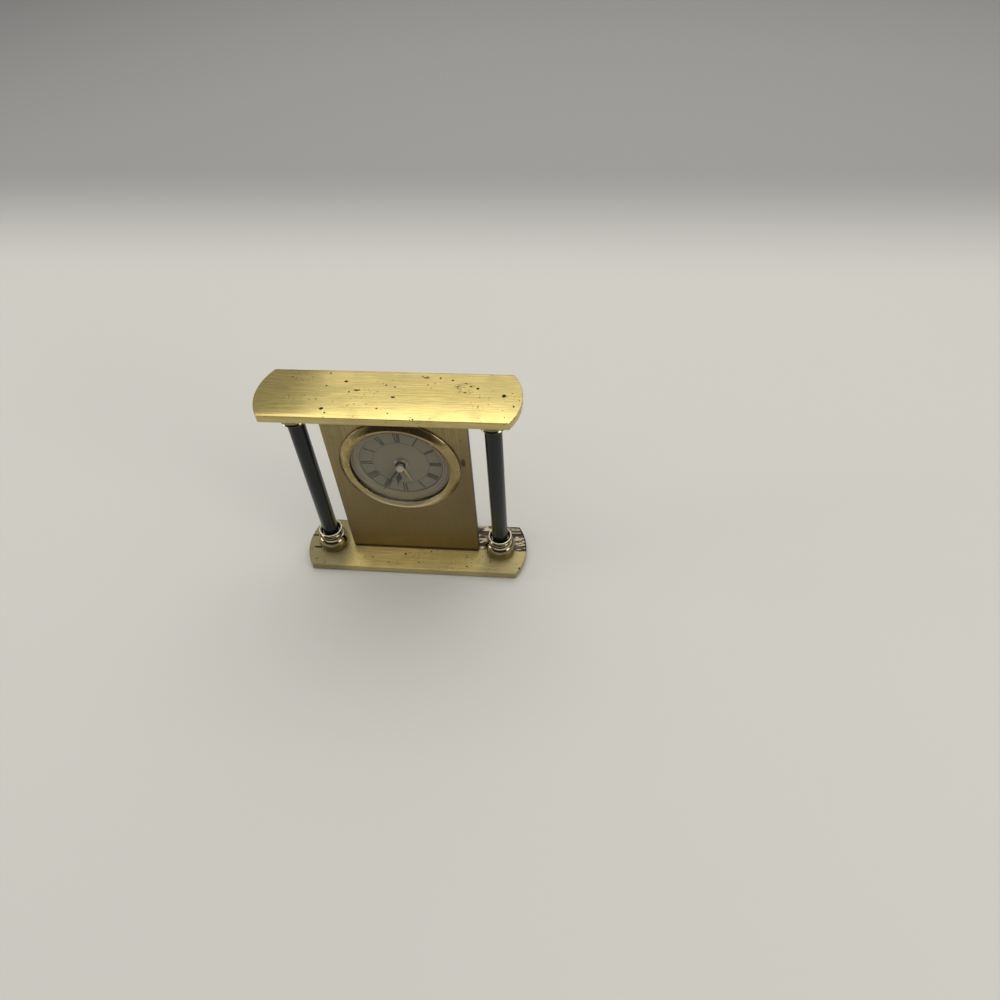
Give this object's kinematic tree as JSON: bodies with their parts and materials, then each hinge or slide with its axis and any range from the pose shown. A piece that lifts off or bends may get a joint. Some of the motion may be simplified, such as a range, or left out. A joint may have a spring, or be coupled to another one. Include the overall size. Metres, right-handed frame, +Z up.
{
  "type": "desk alarm clock",
  "caption": "Small analogue quartz alarm clock for a desk: a round clock in a brass panel between brass base and top bars, with dark side columns in turned brass collars.",
  "frame": {"origin": "middle of the underside of the felt pad, on the table", "axes": "+X to the clock's right-hand side seen from the front, +Y to its back, +Z up"},
  "size_m": [0.1106, 0.0294, 0.1044],
  "materials": {
    "brushed_brass": "satin, brushed along the bar, with age specks",
    "panel_brass": "satin, brushed upright, darkened lacquer",
    "polished_brass": "polished",
    "column_black": "satin black lacquer on steel tube",
    "felt": "felt",
    "steel": "plain",
    "lens_clear": "clear, polished",
    "dial_cream": "printed, satin cream lacquer",
    "ring_grey": "satin",
    "hand_black": "satin black lacquer",
    "hand_gold": "satin",
    "cap_cream": "satin",
    "case_black": "fine grain, moulded",
    "rubber": "matt",
    "movement_white": "moulded",
    "gear_white": "moulded, smooth",
    "magnet": "sintered",
    "copper": "enamelled copper wire",
    "circuit_green": "solder mask",
    "battery_steel": "plated"
  },
  "bodies": {
    "stand": {"base_plate": "brushed_brass", "top_plate": "brushed_brass", "face_panel": "panel_brass", "collar_lower_left": "polished_brass", "collar_lower_right": "polished_brass", "collar_upper_left": "polished_brass", "collar_upper_right": "polished_brass", "bezel": "polished_brass", "column_left": "column_black", "column_right": "column_black", "felt_pad": "felt", "tie_screw_left": "steel", "tie_screw_right": "steel", "panel_screw_left": "steel", "panel_screw_right": "steel", "panel_pin_left": "steel", "panel_pin_right": "steel", "dial_bush": "steel", "stator": "steel", "coil_core": "steel", "battery_contact_minus": "steel", "battery_contact_plus": "steel", "lens": "lens_clear", "dial": "dial_cream", "dial_ring": "ring_grey", "buzzer": "hand_gold", "case": "case_black", "grip_ring": "rubber", "main_plate": "movement_white", "train_plate": "movement_white", "train_bridge": "movement_white", "coil": "copper", "circuit_board": "circuit_green", "battery": "battery_steel", "quartz_crystal": "battery_steel"},
    "minute": {"minute_hand": "hand_black", "hand_cap": "cap_cream", "minute_arbor": "steel"},
    "hour": {"hour_hand": "hand_black", "hour_wheel": "gear_white"},
    "motion": {"motion_wheel": "gear_white"},
    "time_knob": {"time_set_knob": "case_black"},
    "alarm": {"alarm_hand": "hand_gold", "alarm_wheel": "gear_white"},
    "alarm_knob": {"alarm_set_knob": "case_black"},
    "intermediate": {"intermediate_wheel": "gear_white"},
    "rotor": {"rotor": "magnet"},
    "seconds": {"seconds_wheel": "gear_white"},
    "third": {"third_wheel": "gear_white"},
    "centre": {"centre_wheel": "gear_white"},
    "battery_cover": {"battery_cover": "case_black"},
    "alarm_switch": {"alarm_switch": "case_black"}
  },
  "joints": [
    {"name": "minute_spin", "type": "hinge", "parent": "stand", "child": "minute", "pos_m": [0, 0, 0.0638], "axis": [0, 1, 0], "continuous": true},
    {"name": "hour_spin", "type": "hinge", "parent": "stand", "child": "hour", "pos_m": [0, 0, 0.0638], "axis": [0, 1, 0], "continuous": true},
    {"name": "motion_spin", "type": "hinge", "parent": "stand", "child": "motion", "pos_m": [0.0052, 0, 0.0668], "axis": [0, 1, 0], "continuous": true},
    {"name": "time_knob_spin", "type": "hinge", "parent": "stand", "child": "time_knob", "pos_m": [0.01099, 0, 0.06835], "axis": [0, 1, 0], "continuous": true},
    {"name": "alarm_spin", "type": "hinge", "parent": "stand", "child": "alarm", "pos_m": [0, 0, 0.0638], "axis": [0, 1, 0], "continuous": true},
    {"name": "alarm_knob_spin", "type": "hinge", "parent": "stand", "child": "alarm_knob", "pos_m": [-0.00693, 0, 0.0678], "axis": [0, 1, 0], "continuous": true},
    {"name": "rotor_spin", "type": "hinge", "parent": "stand", "child": "rotor", "pos_m": [-0.00664, 0, 0.07622], "axis": [0, 1, 0], "continuous": true},
    {"name": "intermediate_spin", "type": "hinge", "parent": "stand", "child": "intermediate", "pos_m": [-0.00364, 0, 0.07513], "axis": [0, 1, 0], "continuous": true},
    {"name": "seconds_spin", "type": "hinge", "parent": "stand", "child": "seconds", "pos_m": [0.00172, 0, 0.07418], "axis": [0, 1, 0], "continuous": true},
    {"name": "third_spin", "type": "hinge", "parent": "stand", "child": "third", "pos_m": [-0.001, 0, 0.06947], "axis": [0, 1, 0], "continuous": true},
    {"name": "centre_spin", "type": "hinge", "parent": "stand", "child": "centre", "pos_m": [0, 0, 0.0638], "axis": [0, 1, 0], "continuous": true},
    {"name": "battery_cover_hinge", "type": "hinge", "parent": "stand", "child": "battery_cover", "pos_m": [0, 0.0122, 0.0561], "axis": [1, 0, 0], "range_deg": [0, 75]},
    {"name": "alarm_switch_slide", "type": "slide", "parent": "stand", "child": "alarm_switch", "axis": [1, 0, 0], "range_m": [0, 0.0024]}
  ],
  "couplings": [
    {"joint": "hour_spin", "follows": "minute_spin", "ratio": 0.083333},
    {"joint": "motion_spin", "follows": "minute_spin", "ratio": -0.33333},
    {"joint": "time_knob_spin", "follows": "minute_spin", "ratio": 1},
    {"joint": "alarm_knob_spin", "follows": "alarm_spin", "ratio": -3},
    {"joint": "intermediate_spin", "follows": "rotor_spin", "ratio": -0.25},
    {"joint": "seconds_spin", "follows": "rotor_spin", "ratio": 0.033333},
    {"joint": "third_spin", "follows": "rotor_spin", "ratio": -0.0044444},
    {"joint": "centre_spin", "follows": "rotor_spin", "ratio": 0.00055556}
  ]
}
